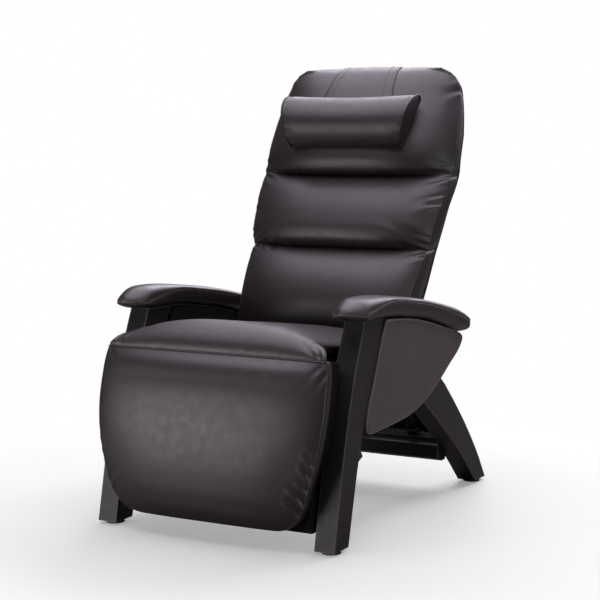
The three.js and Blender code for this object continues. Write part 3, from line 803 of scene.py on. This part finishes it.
def build_pillow(head_front, head_piece):
    """A half-moon bolster with piped ends, on a wide strap that hangs over the top of the back."""
    n = 30
    front = curve(PILLOW_FRONT, np.linspace(0, 1, n))
    rear = curve(PILLOW_REAR, np.linspace(0, 1, n // 2))[::-1][1:-1]
    loop = np.concatenate([front, rear, front[:1]])
    reach = np.interp(loop[:, 1], [962, 1106], PILLOW_HALF)
    nu = 81
    x = np.linspace(-1, 1, nu)[:, None]
    centre = loop.mean(0)
    swell = 1 + 0.03 * (1 - x**2) - 0.03 * np.exp(-(((1 - np.abs(x)) / 0.1) ** 2))
    section = centre + (loop - centre)[None] * swell[..., None]
    body = np.concatenate([(x * reach[None])[..., None], section], axis=2)
    body[..., 2] -= PILLOW_SAG * (1 - x**2) * smoothstep(1030, 1105, body[..., 2])
    rng = np.random.default_rng(11)
    span = np.arange(len(loop))
    for sign in (-1, 1):
        for _ in range(11):
            at = rng.uniform(2, n - 3)
            inwards = np.exp(-(((sign - x) / rng.uniform(0.05, 0.12)) ** 2))
            fade = inwards * np.exp(-(((span - at) / 0.8) ** 2))[None]
            body[..., 1] += rng.uniform(0.7, 1.6) * fade
    caps = []
    for index, sign in ((0, -1), (-1, 1)):
        rim = body[index]
        hub = rim.mean(0)
        t = np.linspace(0, 1, 8)[:, None, None]
        cap = rim[None] * (1 - t) + hub * t
        cap[..., 0] += sign * 7.0 * np.sin(t[..., 0] * math.pi / 2)
        caps.append(cap)
    pillow = new_piece("head_pillow_leather", [body, *caps], HIDE, "pillow")
    held = np.concatenate([body[0], body[-1], body[:, n:-1].reshape(-1, 3)])
    inflate(pillow, held, pressure=2.0, spare=0.0, cap=5)
    subdivide(pillow)
    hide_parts("head_pillow")
    for side, index in (("right", 0), ("left", -1)):
        tube(f"{side}_pillow_piping", body[index][:-1], 2.4, HIDE, "pillow", closed=True)
    rows = [body[3][:n], body[-4][:n]]
    stitches("pillow_stitches", rows, pillow, "pillow", pitch=7)
    build_strap(head_front, head_piece)


def build_strap(head_front, head_piece):
    """The strap under the pillow: it lies on the head cushion and goes over the top of the back."""
    nu, nv = 17, 70
    tree = surface_of(head_piece)
    across = np.linspace(-1, 1, nu)
    normals = grid_normals(head_front)
    normals = normals if normals[..., 1].mean() < 0 else -normals
    lines, ups = [], []
    rows = head_front.shape[1]
    for a in across:
        point, up = np.zeros((rows, 3)), np.zeros((rows, 3))
        for j in range(rows):
            x = a * np.interp(head_front[head_front.shape[0] // 2, j, 2], [1085, 1185], STRAP_HALF[::-1])
            for k in range(3):
                point[j, k] = np.interp(x, head_front[:, j, 0], head_front[:, j, k])
                up[j, k] = np.interp(x, head_front[:, j, 0], normals[:, j, k])
            start = Vector(point[j] + up[j] * 30) * MM
            hit = tree.ray_cast(start, -Vector(up[j]), 0.06)[0]
            if hit:
                point[j] = np.array(hit) / MM
        keep = point[:, 2] > STRAP_LOW
        x = a * STRAP_HALF[0]
        over = np.array([[x, 464, 1189.5], [x, 472, 1180], [x, 476, 1150], [x, 478, 1110], [x, 474, 1050]])
        over_up = np.array([[0, 0.5, 0.85], [0, 0.9, 0.4], [0, 1, 0.05], [0, 1, 0], [0, 1, 0]])
        lines.append(np.concatenate([point[keep], over]))
        ups.append(np.concatenate([up[keep], over_up]))
    at = np.linspace(0, 1, nv)
    grid = np.stack([curve(line, at) for line in lines])
    up = np.stack([read_rows(at, np.linspace(0, 1, len(u)), u) for u in ups])
    edge = (1 - np.abs(across) ** 12)[:, None, None]
    top = grid + up * (3.0 + 2.2 * edge)
    low = grid + up * 0.6
    strap = new_piece("pillow_strap_leather", closed_box(top, low, 3), HIDE, "back")
    subdivide(strap)
    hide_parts("pillow_strap")
    stitches("strap_stitches", [top[2], top[-3]], strap, "back", pitch=6)


def build_seat():
    """The seat cushion, whose rolled front bends over onto the legrest."""
    nu, nv = 111, 97
    top = crowned(SEAT_SEAM, SEAT_CROWN, nu, nv, power=4.8, ease=0.78)
    rng = np.random.default_rng(17)
    folds = mirrored([(300, 0.02, 262, 0.17, 9, 5), (285, 0.03, 235, 0.14, 7, 3.5),
                      (262, 0.20, 225, 0.12, 8, 3.5), (310, 0.0, 290, 0.10, 6, 3)])
    folds += edge_folds(rng, 9, 290, 0, (0.03, 0.07), (5, 8), (0.8, 1.8), 10)
    top = press(top, folds)
    under = top.copy()
    floor_y, floor_z = zip(*SEAT_FLOOR)
    y = np.interp(np.linspace(0, 1, nv), [0, 0.12, 1], floor_y)
    room = 250 + 45 * smoothstep(-385, -412, y)
    under[..., 0] = np.sign(top[..., 0]) * np.minimum(np.abs(top[..., 0]) * 0.97, room)
    under[..., 1] = y
    under[..., 2] = np.interp(y, floor_y, floor_z)
    grids = [top, under]
    swell = np.zeros((nv, 3))
    for index in (0, -1):
        sign = np.sign(top[index, 5, 0])
        swell[:, 0] = 4 * sign * np.sin(np.linspace(0, math.pi, nv))
        grids.append(ruled(top[index], under[index], 7, swell))
    for column in (0, -1):
        grids.append(ruled(top[:, column], under[:, column], 7))
    seat = new_piece("seat_leather", grids, HIDE, None)
    held = np.concatenate([under.reshape(-1, 3), top[0], top[-1], top[:, 0], top[:, -1]])
    inflate(seat, held, pressure=2.0, spare=0.0, cap=6, bending=12.0)
    subdivide(seat)
    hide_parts("seat_cushion")
    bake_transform(seat)


def build_web():
    """The thin padded leather web that closes the gap between the seat and the lumbar section."""
    line = curve(WEB_LINE, np.linspace(0, 1, 25))
    top = point_grid(np.linspace(-WEB_HALF, WEB_HALF, 41)[:, None], line[:, 0], line[:, 1])
    under = top - [0, 0, WEB_THICKNESS]
    web = new_piece("seat_back_web_leather", closed_box(top, under, 2), HIDE, None)
    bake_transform(web)


def legrest_rear(z):
    """y of the legrest board's sloping face at height z."""
    return -350 - (455 - z) * LEGREST_SLOPE


def build_legrest():
    """The legrest's pad, gathered at its lower corners, with its welt, lining and skirt."""
    nu, nv = 131, 91
    front = crowned(LEGREST_SEAM, LEGREST_CROWN, nu, nv, power=3.0, ease=0.62)
    folds = []
    for x0, v0, x1, v1, width, depth in LEGREST_PUCKERS:
        folds.append((x0, v0, x1, v1, width, depth))
        folds.append((-x0, v0, -x1, v1, width, depth * FAR_SIDE_DEPTH))
    front = press(front, folds)
    seam = curve(LEGREST_SEAM, np.linspace(0, 1, nv))
    rear = front.copy()
    rear[..., 1] = seam[None, :, 1] + LEGREST_BAND
    rear[..., 2] = seam[None, :, 2]
    pad = boxed("legrest_pad_leather", front, rear, "legrest", "legrest_pad", steps=7, side_bulge=2,
                pressure=2.5, spare=0.0, cap=2.5, bending=14.0)
    stitches("legrest_seam_stitches", seam_paths(front, 8, 4.0, 5.0), pad, "legrest", pitch=6)
    tube("legrest_top_welt", front[:, -1] + [0, -0.6, 0.6], 1.6, HIDE, "legrest")
    build_lining(seam)
    build_skirt()


def build_lining(seam):
    """Black cloth over the rear half of the legrest pad, set in from the leather."""
    nu = 41
    rows = seam[seam[:, 2] > 47]
    x = np.linspace(-1, 1, nu)[:, None] * (rows[None, :, 0] - LINING_INSET)
    near = point_grid(x, rows[:, 1] + LEGREST_BAND - 1.5, rows[:, 2])
    far = near.copy()
    z = np.clip(rows[:, 2], 48, 452)
    far[..., 1] = legrest_rear(z)[None]
    far[..., 2] = z[None]
    lining = new_piece("legrest_pad_lining", closed_box(near, far, 5), CLOTH, "legrest")
    soften(lining, 0.004)


def build_skirt():
    """The padded block in black cloth behind the legrest board."""
    nu, nv = 25, 17
    z = np.linspace(*SKIRT_SPAN, nv)
    x = np.linspace(-SKIRT_HALF, SKIRT_HALF, nu)[:, None]
    front = point_grid(x, legrest_rear(z) + 12.4, z)
    puff = 3.0 * (1 - (x / SKIRT_HALF) ** 4) * np.sin(np.linspace(0, math.pi, nv))[None] ** 0.5
    rear = point_grid(x, legrest_rear(z) + 38 + puff, z)
    skirt = new_piece("legrest_skirt_cloth", closed_box(front, rear, 5), CLOTH, "legrest")
    soften(skirt, 0.005)
    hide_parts("legrest_skirt")


def build_arm_pad(name, sign):
    """A padded armrest: a crowned top, a stitched side band and leather gathered under the nose."""
    nose_part = ARM_NOSE - ARM_NOSE_LENGTH * np.sin(np.linspace(math.pi / 2, 0, 48))
    stations = np.concatenate([nose_part, np.linspace(-300, ARM_TAIL, 72), np.linspace(334, 368, 9)])
    bottom, seam, ridge = (height_at(p, stations) for p in (ARM_BOTTOM, ARM_SEAM, ARM_RIDGE))
    half = np.full(len(stations), float(ARM_HALF))
    nose = stations < ARM_NOSE
    reach = (stations[nose] - ARM_NOSE) / ARM_NOSE_LENGTH
    half[nose] = ARM_HALF * np.sqrt(np.clip(1 - reach**2, 0, 1))
    tail = stations > ARM_TAIL
    reach = (stations[tail] - ARM_TAIL) / ARM_TAIL_LENGTH
    half[tail] = ARM_TAIL_HALF * np.sqrt(np.clip(1 - reach**2, 0.02, 1))
    taper = smoothstep(100, ARM_TAIL, stations)
    half = half - ARM_NARROWING * taper * (~tail)
    centre = ARM_CENTRE + ARM_SHIFT * taper
    angles = np.linspace(0, 2 * math.pi, 73)
    c, s = np.cos(angles), np.sin(angles)
    front = smoothstep(-285, -335, stations)[:, None]
    across = np.sign(c) * np.abs(c) ** (0.78 + 0.22 * front)
    up = np.where(s > 0, np.abs(s) ** (0.75 + 0.55 * front), -np.abs(s) ** (0.45 + 0.55 * front))
    x = centre[:, None] + half[:, None] * across
    z = seam[:, None] + np.where(up > 0, up * (ridge - seam)[:, None], up * (seam - bottom)[:, None])
    rim = np.r_[0, np.cumsum(np.hypot(np.diff(half), np.diff(stations)))]
    gather = front * np.sin(2 * math.pi * rim / PUCKER_PITCH)[:, None] * np.exp(-((s + 0.3) / 0.4) ** 2)
    x = x + PUCKER_DEPTH * gather * across
    z = z - PUCKER_DEPTH * gather
    groove = np.exp(-((s / GROOVE_WIDTH) ** 2))
    x = x - GROOVE_DEPTH * groove * across
    y = np.broadcast_to(stations[:, None], x.shape)
    grid = np.stack([sign * x, y, z], 2)
    pad = new_piece(f"{name}_arm_pad_leather", [grid], HIDE, "base")
    subdivide(pad)
    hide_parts(f"{name}_arm_pad")
    outer, inner = grid[1:-1, 0], grid[1:-1, 36]
    loop = np.concatenate([inner[::-1], outer])
    stitches(f"{name}_arm_pad_stitches", [loop + [0, 0, 5.5], loop + [0, 0, -5.0]], pad, "base", pitch=6)
    tube(f"{name}_arm_pad_seam", loop, 1.3, THREAD, "base", sides=8)


def offset_outline(points, distance):
    """A closed outline moved sideways by a distance."""
    ahead = np.roll(points, -1, 0) - np.roll(points, 1, 0)
    ahead /= np.maximum(np.linalg.norm(ahead, axis=1, keepdims=True), 1e-9)
    return points + np.stack([-ahead[:, 1], ahead[:, 0]], 1) * distance


def build_outer_panel(name, sign):
    """An upholstered side panel with a soft rolled rim, and a welt whose lighter leather is a painted
    highlight along it.
    """
    sides = ((PANEL_TOP, 40), (PANEL_LOW, 56), (PANEL_FRONT, 30))
    outline = np.concatenate([curve(points, np.linspace(0, 1, count)) for points, count in sides])
    area = np.sum(outline[:, 0] * np.roll(outline[:, 1], -1) - np.roll(outline[:, 0], -1) * outline[:, 1])
    inward = 1 if area > 0 else -1
    centre = outline.mean(0)
    rings = [(PANEL_INNER_X, centre + (outline - centre) * 0.02)]
    rings.append((PANEL_INNER_X, offset_outline(outline, inward * 0.5)))
    for a in np.linspace(0, math.pi / 2, 6):
        ring = offset_outline(outline, inward * PANEL_ROLL * (1 - math.cos(a)))
        rings.append((PANEL_OUTER_X - PANEL_ROLL + PANEL_ROLL * math.sin(a), ring))
    rim = rings[-1][1]
    for shrink, x in PANEL_CROWN:
        rings.append((PANEL_OUTER_X + x, centre + (rim - centre) * shrink))
    loops = [np.column_stack([np.full(len(ring), sign * x), ring]) for x, ring in rings]
    grid = np.stack([np.concatenate([loop, loop[:1]]) for loop in loops])
    panel = new_piece(f"{name}_outer_panel_leather", [grid], PANEL, "base")
    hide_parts(f"{name}_outer_panel")
    # The welt is in the lighter leather, a painted highlight along the rim.
    welt = offset_outline(outline, inward * 1.2)
    path = np.column_stack([np.full(len(welt), sign * (PANEL_OUTER_X - 3.0)), welt])
    tube(f"{name}_outer_panel_welt", path, 2.2, WELT_PAINTED_HIGHLIGHT, "base", closed=True)


# ---- stage ----
def area_light(name, place, target, size, power, colour):
    """A rectangular light at a place, turned to a target, that the camera doesn't see."""
    data = bpy.data.lights.new(name, "AREA")
    data.shape = "RECTANGLE"
    data.size, data.size_y = size
    data.energy = power
    data.color = colour
    light = bpy.data.objects.new(name, data)
    light.location = place
    light.rotation_euler = (Vector(target) - Vector(place)).to_track_quat("-Z", "Y").to_euler()
    light.visible_camera = False
    bpy.context.collection.objects.link(light)


def camera_split(nodes, links, hidden, seen, output):
    """Gives the camera one shader and every other ray another."""
    path = nodes.new("ShaderNodeLightPath")
    mix = nodes.new("ShaderNodeMixShader")
    links.new(path.outputs["Is Camera Ray"], mix.inputs[0])
    links.new(hidden.outputs[0], mix.inputs[1])
    links.new(seen.outputs[0], mix.inputs[2])
    links.new(mix.outputs[0], output.inputs["Surface"])


def build_floor():
    """A white floor that fades to plain white far away, and is darker to the object than to the camera."""
    bm = bmesh.new()
    bm.faces.new([bm.verts.new(v) for v in ((-12, -12, 0), (12, -12, 0), (12, 12, 0), (-12, 12, 0))])
    mesh = bpy.data.meshes.new("floor")
    bm.to_mesh(mesh)
    bm.free()
    floor = bpy.data.objects.new("floor", mesh)
    bpy.context.collection.objects.link(floor)
    material, nodes, links, near = shader("floor_white")
    near.inputs["Base Color"].default_value = (0.355, 0.378, 0.332, 1)
    near.inputs["Roughness"].default_value = 0.9
    near.inputs["Specular IOR Level"].default_value = 0.0
    near.inputs["Emission Color"].default_value = (1, 1, 1, 1)
    near.inputs["Emission Strength"].default_value = FLOOR_GLOW
    dim = put(nodes, "ShaderNodeBsdfDiffuse", Color=(0.16, 0.15, 0.15, 1))
    far = put(nodes, "ShaderNodeEmission", Color=(1, 1, 1, 1), Strength=1.0)
    coords = nodes.new("ShaderNodeTexCoord")
    distance = nodes.new("ShaderNodeVectorMath")
    distance.operation = "LENGTH"
    links.new(coords.outputs["Object"], distance.inputs[0])
    ramp = put(nodes, "ShaderNodeMapRange", From_Min=0.75, From_Max=1.35)
    ramp.interpolation_type = "SMOOTHSTEP"
    links.new(distance.outputs["Value"], ramp.inputs["Value"])
    seen = nodes.new("ShaderNodeMixShader")
    links.new(ramp.outputs["Result"], seen.inputs[0])
    links.new(near.outputs[0], seen.inputs[1])
    links.new(far.outputs[0], seen.inputs[2])
    camera_split(nodes, links, dim, seen, nodes["Material Output"])
    mesh.materials.append(material)


def build_world():
    """A white background that lights the object only a little."""
    world = bpy.data.worlds.new("studio")
    bpy.context.scene.world = world
    world.use_nodes = True
    nodes, links = world.node_tree.nodes, world.node_tree.links
    seen = put(nodes, "ShaderNodeBackground", Color=(1, 1, 1, 1), Strength=1.0)
    ambient = put(nodes, "ShaderNodeBackground", Color=(1, 1, 1, 1), Strength=AMBIENT)
    camera_split(nodes, links, ambient, seen, nodes["World Output"])


def build_camera():
    """The camera at the fixed angle and distance from its target."""
    data = bpy.data.cameras.new("camera")
    data.lens = CAMERA_LENS
    data.sensor_width = 36
    camera = bpy.data.objects.new("camera", data)
    azimuth, elevation = math.radians(CAMERA_AZIMUTH), math.radians(CAMERA_ELEVATION)
    back = Vector((math.sin(azimuth) * math.cos(elevation), -math.cos(azimuth) * math.cos(elevation),
                   math.sin(elevation)))
    camera.location = Vector(CAMERA_TARGET) + back * CAMERA_DISTANCE
    camera.rotation_euler = (-back).to_track_quat("-Z", "Y").to_euler()
    bpy.context.collection.objects.link(camera)
    bpy.context.scene.camera = camera
    bpy.context.scene.view_settings.view_transform = "Standard"


build_camera()
build_floor()
build_world()
for light in LIGHTS:
    area_light(*light)
dress_cad_nodes()
head_sheet, head_cushion = build_back()
build_pillow(head_sheet, head_cushion)
build_seat()
build_web()
build_legrest()
for side_name, side_sign in (("left", 1), ("right", -1)):
    build_arm_pad(side_name, side_sign)
    build_outer_panel(side_name, side_sign)
